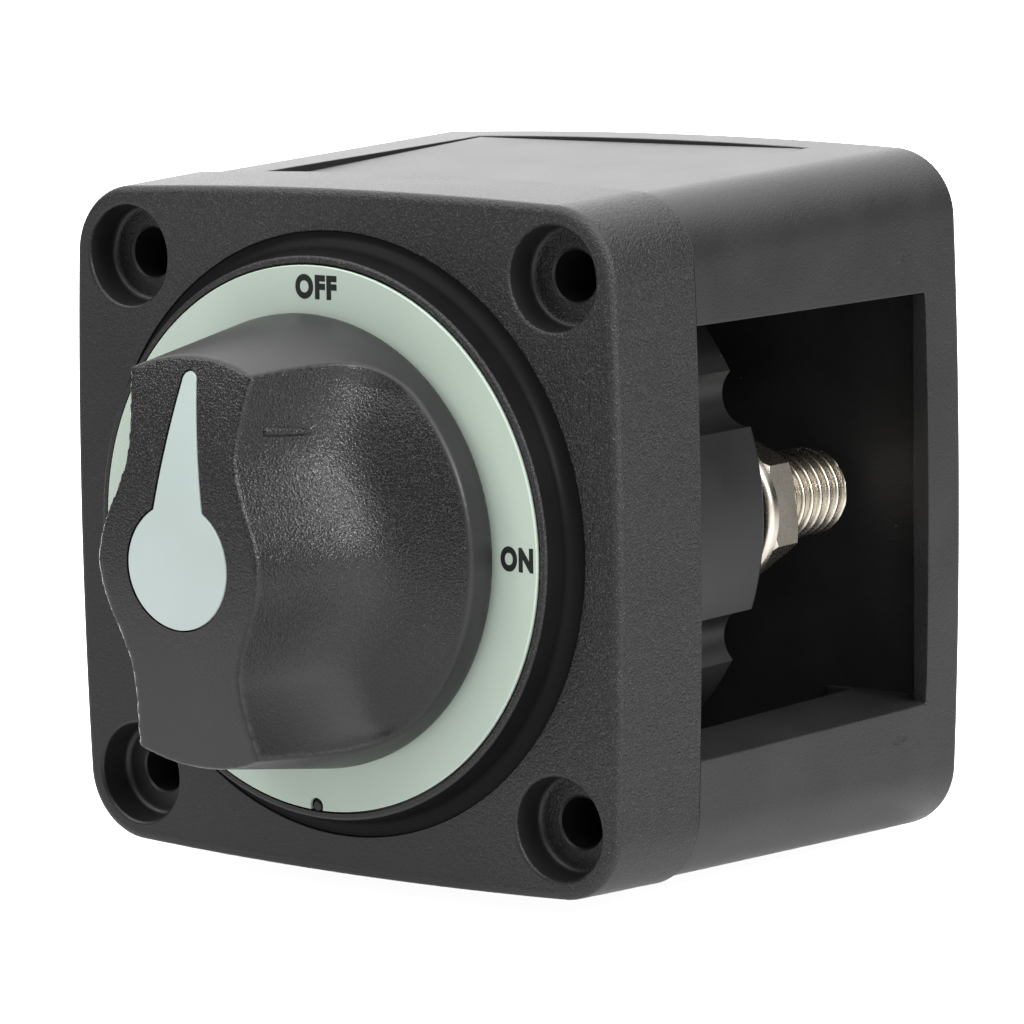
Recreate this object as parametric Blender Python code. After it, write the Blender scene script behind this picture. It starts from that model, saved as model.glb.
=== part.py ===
"""Marine battery isolator switch with a quarter-turn knob and a boxed terminal cover.

Frame: +X to the right seen from the front, +Y to the back, +Z up, in metres.
The origin is the centre of the cover's rear mounting face. The knob looks along -Y.
Depths in this file are measured backwards from the face plate's plane.
"""

import math

import bmesh
import bpy
from mathutils import Matrix, Vector

MM = 0.001

# Driving dimensions.
DEPTH = 58.8 * MM  # face plate plane to rear mounting face
FACE_HALF = 34.4 * MM  # half the width of the face plate
BULGE = 0.6 * MM  # how far each side bows out
CORNER = 7.2 * MM  # radius of the box's corners
FACE_DRAFT = 0.046  # the sides widen towards the back, front housing
COVER_DRAFT = 0.031  # and rear cover
PARTING = 13.1 * MM  # depth of the joint between front housing and rear cover
GAP = 0.3 * MM  # between touching pieces
WALL = 2.4 * MM
FRONT_WALL = 3.0 * MM

HOLE_PITCH_HALF = 26.75 * MM  # mounting holes, from the axis
HOLE_R = 2.55 * MM
COUNTERBORE_R = 5.1 * MM
COUNTERBORE_DEPTH = 3.85 * MM

BOSS_R = 28.1 * MM
BOSS_HEIGHT = 3.3 * MM
LABEL_R = 27.2 * MM
LABEL_HEIGHT = 3.55 * MM
PEG_OFFSET = 26.8 * MM
PEG_X = -0.5 * MM

KNOB_BASE = 4.0 * MM  # knob's back face, ahead of the face plate
KNOB_HEIGHT = 24.6 * MM  # front of the grip at the axis, ahead of the face plate
CROWN_R = 65.0 * MM  # the grip's front curves back towards both ends
KNOB_BASE_R = 22.6 * MM
KNOB_FRONT_R = 19.4 * MM
SKIRT_RIM = 7.2 * MM  # height of the scoops where they run out of the skirt
SCOOP_WALL = 5.0  # slope of a scoop's wall where it leaves the grip
SCOOP_FALL = 0.45  # slope of its floor
SCOOP_END_WALL = 3.0
SCOOP_END = 19.8 * MM
SCOOP_BLEND = 14.0 * MM
WAIST = 6.6 * MM  # half-width of the grip at its narrowest
EYE = 9.9 * MM  # half-width of the grip around the pointer's disc
POINTER_DISC_R = 6.15 * MM
POINTER_TIP = 18.6 * MM
POINTER_ROOT_HALF = 3.05 * MM
POINTER_TIP_HALF = 0.9 * MM

BODY_R = 29.6 * MM
BODY_FRONT = 9.3 * MM
BODY_REAR = 32.2 * MM
CHAMBER_R = 23.0 * MM
CHAMBER_REAR = 24.6 * MM
BODY_SCREW_X = 27.6 * MM
BODY_SCREW_Z = 12.4 * MM
SCALLOP_R = 3.15 * MM

STUD_X = 21.8 * MM
STUD_R = 4.65 * MM
STUD_END = 52.8 * MM
WASHER_R = 8.2 * MM
WASHER_THICK = 1.4 * MM
NUT_FLATS = 14.3 * MM
NUT_THICK = 4.5 * MM
NUT_TURN = math.radians(11)

WINDOW_HALF = 21.4 * MM
WINDOW_REAR = 52.3 * MM
BACK_WALL = 3.0 * MM
PILLAR_CHAMFER = 3.0 * MM
PLATE_THICK = 1.8 * MM
PLATE_FRONT_DROP = 1.5 * MM
PLATE_REAR_DROP = 0.45 * MM

SPINDLE_R = 4.8 * MM
SHAFT_BORE_R = 5.3 * MM

AXIS = Vector((0.0, -DEPTH, 0.0))  # where the knob's axis meets the face plate's plane


def at(depth):
    """World Y of a depth behind the face plate's plane."""
    return depth - DEPTH


def half_at(depth):
    """Half the box's width at a depth, with the draft of the two shells."""
    return FACE_HALF + FACE_DRAFT * min(depth, PARTING) + COVER_DRAFT * max(0.0, depth - PARTING)


# Shapes: each is a list of points and a list of faces, so several can share one object.


def loft(rings):
    """A closed solid through rings of equal length, capped at both ends."""
    size = len(rings[0])
    points = [point for ring in rings for point in ring]
    faces = [list(range(size))[::-1]]
    for row in range(len(rings) - 1):
        for i in range(size):
            j = (i + 1) % size
            faces.append([row * size + i, row * size + j, (row + 1) * size + j, (row + 1) * size + i])
    faces.append([(len(rings) - 1) * size + i for i in range(size)])
    return points, faces


def circle(radius, depth, x=0.0, z=0.0, count=32, turn=0.0):
    angles = [turn + 2 * math.pi * i / count for i in range(count)]
    return [Vector((x + radius * math.cos(a), at(depth), z + radius * math.sin(a))) for a in angles]


def rod(radius, front, rear, x=0.0, z=0.0, count=32, turn=0.0):
    return loft([circle(radius, front, x, z, count, turn), circle(radius, rear, x, z, count, turn)])


def turned(profile, x=0.0, z=0.0, count=32):
    """A solid turned about an axis along Y, through (radius, depth) points from front to back."""
    return loft([circle(radius, depth, x, z, count) for radius, depth in profile])


def tube(profile, x=0.0, z=0.0, count=32):
    """A ring turned about an axis along Y from a closed (radius, depth) outline."""
    rings = [circle(radius, depth, x, z, count) for radius, depth in profile]
    points = [point for ring in rings for point in ring]
    faces = []
    for row in range(len(rings)):
        after = (row + 1) % len(rings)
        for i in range(count):
            j = (i + 1) % count
            faces.append([row * count + i, row * count + j, after * count + j, after * count + i])
    return points, faces


def block(low, high):
    """A box between two corners given as (x, depth, z)."""
    (x0, d0, z0), (x1, d1, z1) = low, high
    ends = [
        [Vector((x, at(d), z)) for x, z in ((x0, z0), (x1, z0), (x1, z1), (x0, z1))] for d in (d0, d1)
    ]
    return loft(ends)


def merged(shapes):
    points, faces = [], []
    for shape_points, shape_faces in shapes:
        start = len(points)
        points += shape_points
        faces += [[start + i for i in face] for face in shape_faces]
    return points, faces


def pillow(half, depth, corner=CORNER, bulge=BULGE, steps=5):
    """The box's outline: four bowed sides joined by round corners. Odd steps keep a flat mid facet."""
    centre = half - bulge - corner
    quarter = []
    for i in range(steps + 1):
        across = -1 + 2 * i / steps
        quarter.append((half - bulge * across**2, centre * across))
    for i in range(1, 7):
        angle = math.pi / 2 * i / 7
        quarter.append((centre + corner * math.cos(angle), centre + corner * math.sin(angle)))
    points = []
    for turn in range(4):
        c, s = math.cos(turn * math.pi / 2), math.sin(turn * math.pi / 2)
        points += [Vector((c * x - s * z, at(depth), s * x + c * z)) for x, z in quarter]
    return points


# Objects and materials.


def clear_scene():
    for obj in list(bpy.data.objects):
        bpy.data.objects.remove(obj, do_unlink=True)


def material(name, colour, roughness, metallic=0.0):
    made = bpy.data.materials.new(name)
    made.use_nodes = True
    shader = made.node_tree.nodes["Principled BSDF"]
    shader.inputs["Base Color"].default_value = (*colour, 1.0)
    shader.inputs["Roughness"].default_value = roughness
    shader.inputs["Metallic"].default_value = metallic
    return made


def solid(name, shape, finish=None, parent=None):
    """An object from a shape. Its origin is its parent empty's, or the world's."""
    origin = parent.location if parent else Vector()
    points, faces = shape
    mesh = bpy.data.meshes.new(name)
    mesh.from_pydata([point - origin for point in points], [], faces)
    work = bmesh.new()
    work.from_mesh(mesh)
    bmesh.ops.recalc_face_normals(work, faces=work.faces)
    work.to_mesh(mesh)
    work.free()
    obj = bpy.data.objects.new(name, mesh)
    bpy.context.collection.objects.link(obj)
    obj.parent = parent
    if finish:
        mesh.materials.append(material(name, *finish))
    return obj


def combine(target, operation, shapes, name):
    """Cuts or joins shapes that don't touch each other with one Boolean modifier."""
    helper = solid(f"{target.name}_{name}", merged(shapes), parent=target.parent)
    helper.hide_render = True
    helper.display_type = "WIRE"
    boolean = target.modifiers.new(name, "BOOLEAN")
    boolean.operation = operation
    boolean.solver = "EXACT"
    boolean.object = helper


def cut(target, shapes, name):
    combine(target, "DIFFERENCE", shapes, name)


def join(target, shapes, name):
    combine(target, "UNION", shapes, name)


def axis_empty(name):
    empty = bpy.data.objects.new(name, None)
    empty.location = AXIS
    bpy.context.collection.objects.link(empty)
    return empty


def corners(x, z):
    return [(sx * x, sz * z) for sx in (-1, 1) for sz in (-1, 1)]


BLACK = ((0.022, 0.022, 0.023), 0.55)
BLACK_GLOSS = ((0.016, 0.016, 0.017), 0.3)
PALE = ((0.62, 0.74, 0.62), 0.5)
RUBBER = ((0.02, 0.02, 0.02), 0.8)
COPPER = ((0.72, 0.36, 0.2), 0.3, 1.0)
TINNED = ((0.72, 0.69, 0.62), 0.28, 1.0)
STEEL = ((0.55, 0.55, 0.56), 0.35, 1.0)


# Front housing and what sits on it.


def front_housing():
    edge = 0.9 * MM
    outer = [
        pillow(half_at(0) - edge, 0.0, CORNER - edge),
        pillow(half_at(0) - 0.4 * edge, 0.1 * edge, CORNER - 0.4 * edge),
        pillow(half_at(0) - 0.1 * edge, 0.4 * edge, CORNER - 0.1 * edge),
        pillow(half_at(edge), edge),
        pillow(half_at(PARTING), PARTING),
    ]
    inner = [
        pillow(half_at(PARTING) - WALL, PARTING, CORNER - WALL),
        pillow(half_at(0) - WALL, FRONT_WALL, CORNER - WALL),
    ]
    housing = solid("front_housing", loft(outer + inner), BLACK)
    mounting = corners(HOLE_PITCH_HALF, HOLE_PITCH_HALF)
    columns = [rod(6.6 * MM, 2.0 * MM, 12.8 * MM, x, z) for x, z in mounting]
    join(housing, columns, "corner_columns")
    join(housing, [dial_boss()], "dial_boss")
    join(housing, [seal_wall()], "seal_wall")
    bosses = [rod(3.1 * MM, 2.0 * MM, 9.0 * MM, x, z) for x, z in corners(BODY_SCREW_X, BODY_SCREW_Z)]
    join(housing, bosses, "screw_bosses")
    join(housing, stop_lugs(), "stop_lugs")
    cut(housing, [label_recess()], "label_recess")
    join(housing, [rod(0.5 * MM, -3.45 * MM, -1.5 * MM, PEG_X, -PEG_OFFSET, 12)], "label_peg")
    drilled = [counterbored_hole(x, z) for x, z in mounting]
    drilled.append(rod(SHAFT_BORE_R, -8 * MM, 8 * MM))
    cut(housing, drilled, "face_holes")
    pilots = [rod(1.75 * MM, 4.2 * MM, 10 * MM, x, z, 16) for x, z in corners(BODY_SCREW_X, BODY_SCREW_Z)]
    cut(housing, pilots, "screw_pilots")


def dial_boss():
    """The raised round platform that carries the dial, with a fillet down to the face."""
    return turned(
        [
            (BOSS_R - 0.3 * MM, -BOSS_HEIGHT),
            (BOSS_R, -BOSS_HEIGHT + 0.3 * MM),
            (BOSS_R + 0.35 * MM, -1.3 * MM),
            (BOSS_R + 0.7 * MM, -0.6 * MM),
            (BOSS_R + 1.3 * MM, -0.2 * MM),
            (BOSS_R + 2.4 * MM, 0.05 * MM),
            (BOSS_R + 2.4 * MM, 1.2 * MM),
        ],
        count=64,
    )


def seal_wall():
    """The ring inside the housing that the gasket and the switch body seat on."""
    outline = [
        (23.6 * MM, 2.2 * MM),
        (26.1 * MM, 2.2 * MM),
        (26.1 * MM, 8.0 * MM),
        (23.6 * MM, 8.0 * MM),
    ]
    return tube(outline, count=48)


def stop_lugs():
    """Two stops inside the face, one at each end of the rotor finger's quarter turn."""
    front, rear = 2.2 * MM, 8.6 * MM
    near, far = 14.6 * MM, 18.2 * MM
    at_off = block((-5.4 * MM, front, near), (-2.1 * MM, rear, far))
    at_on = block((near, front, -5.4 * MM), (far, rear, -2.1 * MM))
    return [at_off, at_on]


def label_recess():
    return rod(LABEL_R + 0.25 * MM, -BOSS_HEIGHT - 1 * MM, -BOSS_HEIGHT + 0.5 * MM, count=64)


def counterbored_hole(x, z):
    profile = [
        (COUNTERBORE_R + 0.35 * MM, -0.2 * MM),
        (COUNTERBORE_R, 0.35 * MM),
        (COUNTERBORE_R - 0.15 * MM, COUNTERBORE_DEPTH),
        (HOLE_R, COUNTERBORE_DEPTH),
        (HOLE_R, PARTING + 1 * MM),
    ]
    return turned(profile, x, z, 28)


def dial_label():
    """The ring-shaped dial plate, notched at the bottom for the locating peg."""
    front, back = -LABEL_HEIGHT, -BOSS_HEIGHT + 0.2 * MM
    outline = [(18.5 * MM, front), (LABEL_R, front), (LABEL_R, back), (18.5 * MM, back)]
    label = solid("dial_label", tube(outline, count=64), PALE)
    cut(label, [rod(0.85 * MM, -6 * MM, 0.0, PEG_X, -PEG_OFFSET, 16)], "peg_notch")


# Knob, pointer and rotor. All of them turn with the knob.


def crown(z):
    """Height of the grip's front ahead of the face plate, at height z."""
    return KNOB_HEIGHT - z**2 / (2 * CROWN_R)


def crowned_slab():
    """A wide slab with the grip's curved front, which trims the knob."""
    reach = 26 * MM
    heights = [reach * (i / 10 - 1) for i in range(21)]
    outline = [(-crown(z), z) for z in heights] + [(-1 * MM, reach), (-1 * MM, -reach)]
    return loft([[Vector((x, at(depth), z)) for depth, z in outline] for x in (-reach, reach)])


def grip_half(z):
    """Half-width of the grip at height z: wide at the disc, waisted, then flared at the ends."""
    reach = abs(z) / (11.5 * MM)
    if reach < 1:
        return WAIST + (EYE - WAIST) * (1 + math.cos(math.pi * reach)) / 2
    return WAIST + 2.0 * MM * (reach - 1) ** 1.5


def blended_max(first, second, width):
    """The larger of two heights, with a round inner corner where they meet."""
    overlap = max(width - abs(first - second), 0.0)
    return max(first, second) + overlap**2 / (4 * width)


def scoop_height(x, z):
    """Height of a scooped flank: a steep wall that eases onto a floor, and a rise at both ends."""
    start = grip_half(z)
    rim = max(math.sqrt(max(KNOB_BASE_R**2 - z**2, 0.0)), start + 1 * MM)
    floor = SKIRT_RIM + SCOOP_FALL * (rim - x)
    top = crown(z) + 0.2 * MM
    drop = top - SKIRT_RIM - SCOOP_FALL * (rim - start)
    left = max(rim - x, 0.0) / (rim - start)
    wall = floor + drop * left ** (SCOOP_WALL * (rim - start) / drop)
    end = SKIRT_RIM + SCOOP_END_WALL * (abs(z) - SCOOP_END)
    return min(top, blended_max(wall, end, SCOOP_BLEND))


def scoop(side):
    """The material taken off one flank of the knob, as a solid with the flank as its floor."""
    rows, columns = 33, 14
    ceiling = KNOB_HEIGHT + 4 * MM
    reach = KNOB_BASE_R + 1.4 * MM
    floor, top = [], []
    for i in range(rows + 1):
        z = reach * math.sin(math.pi * (i / rows - 0.5))
        start = grip_half(z)
        for j in range(columns + 1):
            x = start + (26 * MM - start) * (j / columns) ** 1.6
            floor.append(Vector((side * x, at(-scoop_height(x, z)), z)))
            top.append(Vector((side * x, at(-ceiling), z)))
    wide = columns + 1
    count = len(floor)
    faces = []
    for i in range(rows):
        for j in range(columns):
            a = i * wide + j
            faces.append([a, a + 1, a + wide + 1, a + wide])
            faces.append([count + a + wide, count + a + wide + 1, count + a + 1, count + a])
    border = [j for j in range(columns)]
    border += [i * wide + columns for i in range(rows)]
    border += [rows * wide + columns - j for j in range(columns)]
    border += [(rows - i) * wide for i in range(rows)]
    for a, b in zip(border, border[1:] + border[:1]):
        faces.append([a, b, count + b, count + a])
    return floor + top, faces


def knob(parent):
    profile = [
        (KNOB_FRONT_R, -KNOB_HEIGHT - 1 * MM),
        (KNOB_BASE_R, -KNOB_BASE - 1.1 * MM),
        (KNOB_BASE_R - 0.6 * MM, -KNOB_BASE),
    ]
    shape = solid("knob", turned(profile, count=64), BLACK, parent)
    combine(shape, "INTERSECT", [crowned_slab()], "crown")
    cut(shape, [scoop(-1), scoop(1)], "scoops")
    hollow = [(9 * MM, -3 * MM), (20 * MM, -3 * MM), (19.6 * MM, -5.4 * MM), (9 * MM, -5.4 * MM)]
    cut(shape, [tube(hollow, count=48)], "skirt_hollow")
    cut(shape, [spindle_socket()], "spindle_socket")
    cut(shape, [rod(2.3 * MM, -21 * MM, -14 * MM, count=20)], "screw_hole")
    cut(shape, [rod(4.0 * MM, -26 * MM, -19.7 * MM, count=24)], "screw_pocket")
    cut(shape, [pointer_shape(GAP, -2 * MM, 0.8 * MM)], "pointer_recess")


def keyed(radius, flat, front, rear):
    """A round bar with one flat, the shape of the spindle's drive end."""
    start = math.acos(flat / radius)
    count = 24
    angles = [start + (2 * math.pi - 2 * start) * i / count for i in range(count + 1)]
    ends = [
        [Vector((radius * math.sin(a), at(depth), -radius * math.cos(a))) for a in angles]
        for depth in (front, rear)
    ]
    return loft(ends)


def spindle_socket():
    return keyed(SPINDLE_R + GAP, 3.6 * MM + GAP, -14.8 * MM, -3.0 * MM)


def pointer_rows(grow):
    """(z, half-width) of the pointer from the foot of its disc to its round tip."""
    radius = POINTER_DISC_R + grow
    root = POINTER_ROOT_HALF + grow
    tip = POINTER_TIP_HALF + grow
    end = math.pi - math.asin(root / radius)
    angles = [0.12 + (end - 0.12) * i / 16 for i in range(17)]
    rows = [(-radius * math.cos(a), radius * math.sin(a)) for a in angles]
    shoulder = POINTER_TIP - POINTER_TIP_HALF
    start = rows[-1][0]
    rows += [
        (start + (shoulder - start) * i / 6, root + (tip - root) * i / 6) for i in range(1, 7)
    ]
    rows += [(shoulder + tip * math.sin(a), tip * math.cos(a)) for a in (0.5, 1.0, 1.35)]
    return rows


def pointer_shape(grow, front, rear):
    """The pointer's disc and tapering arm, lying between two depths below the crowned front."""
    rings = []
    for z, half in pointer_rows(grow):
        outline = [(-half, front), (half, front), (half, rear), (-half, rear)]
        rings.append([Vector((x, at(depth - crown(z)), z)) for x, depth in outline])
    return loft(rings)


def pointer_label(parent):
    solid("pointer_label", pointer_shape(0.0, 0.0, 0.5 * MM), PALE, parent)


def knob_screw(parent):
    profile = [(3.3 * MM, -22.3 * MM), (3.6 * MM, -21.9 * MM), (3.6 * MM, -20.0 * MM)]
    profile += [(1.8 * MM, -20.0 * MM), (1.8 * MM, -8.2 * MM), (1.2 * MM, -7.6 * MM)]
    screw = solid("knob_screw", turned(profile, count=24), STEEL, parent)
    cut(screw, [rod(1.6 * MM, -23 * MM, -21.0 * MM, count=6)], "hex_socket")


def spindle(parent):
    profile = [
        (SPINDLE_R + 0.15 * MM, -3.2 * MM),
        (SPINDLE_R + 0.15 * MM, -1.5 * MM),
        (4.0 * MM, -1.5 * MM),
        (4.0 * MM, 0.5 * MM),
        (SPINDLE_R + 0.15 * MM, 0.5 * MM),
        (SPINDLE_R + 0.15 * MM, 3.3 * MM),
        (8.5 * MM, 3.3 * MM),
        (8.5 * MM, 5.2 * MM),
    ]
    shaft = solid("spindle", turned(profile), STEEL, parent)
    join(shaft, [keyed(SPINDLE_R, 3.6 * MM, -14.5 * MM, -2.6 * MM)], "drive_end")
    join(shaft, [rod(5.6 * MM, 4.6 * MM, 8.3 * MM, count=4, turn=math.pi / 4)], "rotor_square")
    cut(shaft, [rod(2.1 * MM, -16 * MM, -7.0 * MM, count=20)], "screw_bore")


def shaft_seal(parent):
    ring, section = 4.65 * MM, 0.5 * MM
    outline = [
        (ring + section * math.cos(math.pi * i / 4), -0.5 * MM + section * math.sin(math.pi * i / 4))
        for i in range(8)
    ]
    solid("shaft_seal", tube(outline), RUBBER, parent)


def contact_carrier(parent):
    """The moulded rotor: driven by the spindle, it guides the moving contact between two prongs."""
    profile = [(13.2 * MM, 5.6 * MM), (13.8 * MM, 6.2 * MM), (13.8 * MM, 14.6 * MM), (13.2 * MM, 15.2 * MM)]
    carrier = solid("contact_carrier", turned(profile, count=48), BLACK_GLOSS, parent)
    starts = (-8.8 * MM, 5.0 * MM)
    prongs = [block((x, 14.0 * MM, -7.8 * MM), (x + 3.8 * MM, 20.2 * MM, 7.8 * MM)) for x in starts]
    join(carrier, prongs, "prongs")
    join(carrier, [block((-1.8 * MM, 6.4 * MM, 12 * MM), (1.8 * MM, 8.4 * MM, 17.6 * MM))], "stop_finger")
    cut(carrier, [rod(5.6 * MM + 0.4 * MM, 4 * MM, 8.7 * MM, count=4, turn=math.pi / 4)], "spindle_square")
    cut(carrier, [rod(4.9 * MM, 10.4 * MM, 18 * MM, count=24)], "spring_pocket")


def moving_contact(parent):
    """The copper bridge. It stands across the terminals when off and turns onto them when on."""
    low, high = (-4.6 * MM, 15.9 * MM, -18.6 * MM), (4.6 * MM, 18.9 * MM, 18.6 * MM)
    bridge = solid("moving_contact", block(low, high), COPPER, parent)
    bevel = bridge.modifiers.new("rounded_edges", "BEVEL")
    bevel.width = 0.5 * MM
    bevel.segments = 2


def contact_spring(parent):
    """A compression spring, as one closed coil of round wire."""
    turns, steps, sides = 4.5, 14, 6
    radius, wire = 3.7 * MM, 0.45 * MM
    front, rear = 11.2 * MM, 15.1 * MM
    count = int(turns * steps)
    rings = []
    for i in range(count + 1):
        angle = 2 * math.pi * i / steps
        outward = Vector((math.cos(angle), 0.0, math.sin(angle)))
        centre = outward * radius + Vector((0.0, at(front + (rear - front) * i / count), 0.0))
        ring = []
        for j in range(sides):
            around = 2 * math.pi * j / sides
            ring.append(centre + wire * (math.cos(around) * outward + math.sin(around) * Vector((0, 1, 0))))
        rings.append(ring)
    solid("contact_spring", loft(rings), STEEL, parent)


# Switch body, seals and fasteners.


def body_gasket():
    outline = [(23.8 * MM, 8.15 * MM), (25.9 * MM, 8.15 * MM), (25.9 * MM, 9.1 * MM), (23.8 * MM, 9.1 * MM)]
    solid("body_gasket", tube(outline, count=48), RUBBER)


def switch_body():
    """The contact base behind the face: a scalloped cup with a barrier between the terminals."""
    profile = [
        (BODY_R, BODY_FRONT),
        (BODY_R, BODY_REAR - 0.8 * MM),
        (BODY_R - 0.8 * MM, BODY_REAR),
        (CHAMBER_R - 2 * MM, BODY_REAR),
    ]
    body = solid("switch_body", turned(profile, count=64), BLACK)
    ears = [rod(3.4 * MM, BODY_FRONT, 12.3 * MM, x, z, 24) for x, z in corners(BODY_SCREW_X, BODY_SCREW_Z)]
    join(body, ears, "screw_ears")
    barrier = block((-1.6 * MM, BODY_REAR - 2 * MM, -19 * MM), (1.6 * MM, 46 * MM, 19 * MM))
    join(body, [barrier], "terminal_barrier")
    cut(body, [rod(CHAMBER_R, BODY_FRONT - 1 * MM, CHAMBER_REAR, count=64)], "chamber")
    bays = [
        block((x0, 20.4 * MM, -6.2 * MM), (x1, CHAMBER_REAR, 6.2 * MM))
        for x0, x1 in ((-26.9 * MM, -20 * MM), (20 * MM, 26.9 * MM))
    ]
    cut(body, bays, "contact_bays")
    pockets = [
        turned(
            [
                (1.8 * MM, 8 * MM),
                (1.8 * MM, 12.3 * MM),
                (SCALLOP_R, 12.3 * MM),
                (SCALLOP_R, 36 * MM),
            ],
            x,
            z,
            20,
        )
        for x, z in corners(BODY_SCREW_X, BODY_SCREW_Z)
    ]
    cut(body, pockets, "screw_pockets")
    studs = [rod(STUD_R + GAP, 22 * MM, 36 * MM, x) for x in (-STUD_X, STUD_X)]
    cut(body, studs, "stud_holes")


def body_screws():
    for number, (x, z) in enumerate(corners(BODY_SCREW_X, BODY_SCREW_Z), 1):
        profile = [
            (0.7 * MM, 4.8 * MM),
            (1.45 * MM, 6.0 * MM),
            (1.45 * MM, 12.6 * MM),
            (2.7 * MM, 12.6 * MM),
            (2.7 * MM, 14.0 * MM),
            (2.1 * MM, 14.6 * MM),
        ]
        screw = solid(f"body_screw_{number}", turned(profile, x, z, 18), STEEL)
        cross = [
            block((x - 1.5 * MM, 13.7 * MM, z - 0.3 * MM), (x + 1.5 * MM, 16 * MM, z + 0.3 * MM)),
        ]
        cut(screw, cross, "drive_slot")


def terminals():
    for side, word in ((-1, "left"), (1, "right")):
        x = side * STUD_X
        terminal_stud(f"terminal_stud_{word}", side, x)
        terminal_washer(f"terminal_washer_{word}", x)
        terminal_nut(f"terminal_nut_{word}", x)


def terminal_stud(name, side, x):
    """A stud whose flat inner head is the fixed contact."""
    profile = [
        (STUD_R, 23 * MM),
        (STUD_R, STUD_END - 0.8 * MM),
        (STUD_R - 0.8 * MM, STUD_END),
    ]
    stud = solid(name, turned(profile, x, 0.0, 28), TINNED)
    near, far = sorted((side * 12.6 * MM, side * 26.3 * MM))
    join(stud, [block((near, 21 * MM, -5.6 * MM), (far, 24.2 * MM, 5.6 * MM))], "contact_head")


def terminal_washer(name, x):
    front = BODY_REAR + GAP
    bore = STUD_R + GAP
    rear = front + WASHER_THICK
    outline = [(bore, front), (WASHER_R, front), (WASHER_R, rear), (bore, rear)]
    solid(name, tube(outline, x), TINNED)


def terminal_nut(name, x):
    """A hex nut, its corners rounded off by a cone at both ends."""
    front = BODY_REAR + WASHER_THICK + 1.5 * GAP
    rear = front + NUT_THICK
    across = NUT_FLATS / math.sqrt(3)
    nut = solid(name, rod(across, front, rear, x, 0.0, 6, NUT_TURN + math.pi / 6), TINNED)
    cone = [
        (across - 0.9 * MM, front - 0.1 * MM),
        (across + 0.4 * MM, front + 0.8 * MM),
        (across + 0.4 * MM, rear - 0.8 * MM),
        (across - 0.9 * MM, rear + 0.1 * MM),
    ]
    combine(nut, "INTERSECT", [turned(cone, x, 0.0, 36)], "corner_cones")
    cut(nut, [rod(STUD_R + 0.12 * MM, front - 1 * MM, rear + 1 * MM, x)], "thread_bore")


# Rear cover and its cable plates.


def rear_cover():
    """The deep cover: four corner pillars on a back wall, open on all four sides for cables."""
    front = PARTING + GAP
    edge = 1.3 * MM
    shrink = 0.3 * MM
    rings = [
        pillow(half_at(front) - shrink, front),
        pillow(half_at(DEPTH - edge), DEPTH - edge),
        pillow(half_at(DEPTH) - 0.1 * edge, DEPTH - 0.5 * edge, CORNER - 0.1 * edge),
        pillow(half_at(DEPTH) - 0.45 * edge, DEPTH - 0.1 * edge, CORNER - 0.45 * edge),
        pillow(half_at(DEPTH) - edge, DEPTH, CORNER - edge),
    ]
    cover = solid("rear_cover", loft(rings), BLACK)
    wide = 50 * MM
    open_front = PARTING - 1 * MM
    cut(cover, [block((-wide, open_front, -WINDOW_HALF), (wide, WINDOW_REAR, WINDOW_HALF))], "side_windows")
    cut(cover, [block((-WINDOW_HALF, open_front, -wide), (WINDOW_HALF, WINDOW_REAR, wide))], "end_windows")
    reach = half_at(WINDOW_REAR) - 2.0 * MM
    back = DEPTH - BACK_WALL
    cut(cover, [block((-reach, 50 * MM, -WINDOW_HALF), (reach, back, WINDOW_HALF))], "back_hollow_wide")
    cut(cover, [block((-WINDOW_HALF, 50 * MM, -reach), (WINDOW_HALF, back, reach))], "back_hollow_tall")
    chamfers = [
        rod(PILLAR_CHAMFER, open_front, back - 0.4 * MM, x, z, 4)
        for x, z in corners(WINDOW_HALF, WINDOW_HALF)
    ]
    cut(cover, chamfers, "pillar_chamfers")
    holes = [
        rod(2.8 * MM, open_front, DEPTH + 1 * MM, x, z, 24)
        for x, z in corners(HOLE_PITCH_HALF, HOLE_PITCH_HALF)
    ]
    cut(cover, holes, "screw_passages")


def cable_plate(name, turn):
    """A flat plate that closes one side window. It lies deeper at the front than at the back."""
    front, rear = PARTING + 2 * GAP, WINDOW_REAR - GAP
    half = WINDOW_HALF - GAP
    profile = [
        (front, half_at(PARTING) - PLATE_FRONT_DROP),
        (rear, half_at(WINDOW_REAR) - PLATE_REAR_DROP),
        (rear, half_at(WINDOW_REAR) - PLATE_REAR_DROP - PLATE_THICK),
        (front, half_at(PARTING) - PLATE_FRONT_DROP - PLATE_THICK),
    ]
    ends = [[Vector((x, at(depth), z)) for depth, z in profile] for x in (-half, half)]
    spin = Matrix.Rotation(turn, 3, "Y")
    points, faces = loft(ends)
    plate = solid(name, ([spin @ point for point in points], faces), BLACK)
    bevel = plate.modifiers.new("softened_edges", "BEVEL")
    bevel.width = 0.25 * MM
    bevel.segments = 2


def main():
    clear_scene()
    front_housing()
    dial_label()
    turning = axis_empty("knob_axis")
    for piece in (knob, pointer_label, knob_screw, spindle, shaft_seal, contact_carrier):
        piece(turning)
    moving_contact(turning)
    contact_spring(turning)
    body_gasket()
    switch_body()
    body_screws()
    terminals()
    rear_cover()
    cable_plate("cable_plate_top", 0.0)
    cable_plate("cable_plate_left", -math.pi / 2)
    cable_plate("cable_plate_bottom", math.pi)


main()
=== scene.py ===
"""Looks of the marine battery isolator switch: fine meshes, materials, light and camera.

The frame is the CAD's, in metres: +X right, +Y back, +Z up, with the origin in the centre of the rear
mounting face. Depths are measured backwards from the face plate's plane, and heights forwards from it.
"""

import math

import bmesh
import bpy
from mathutils import Matrix, Vector

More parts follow.
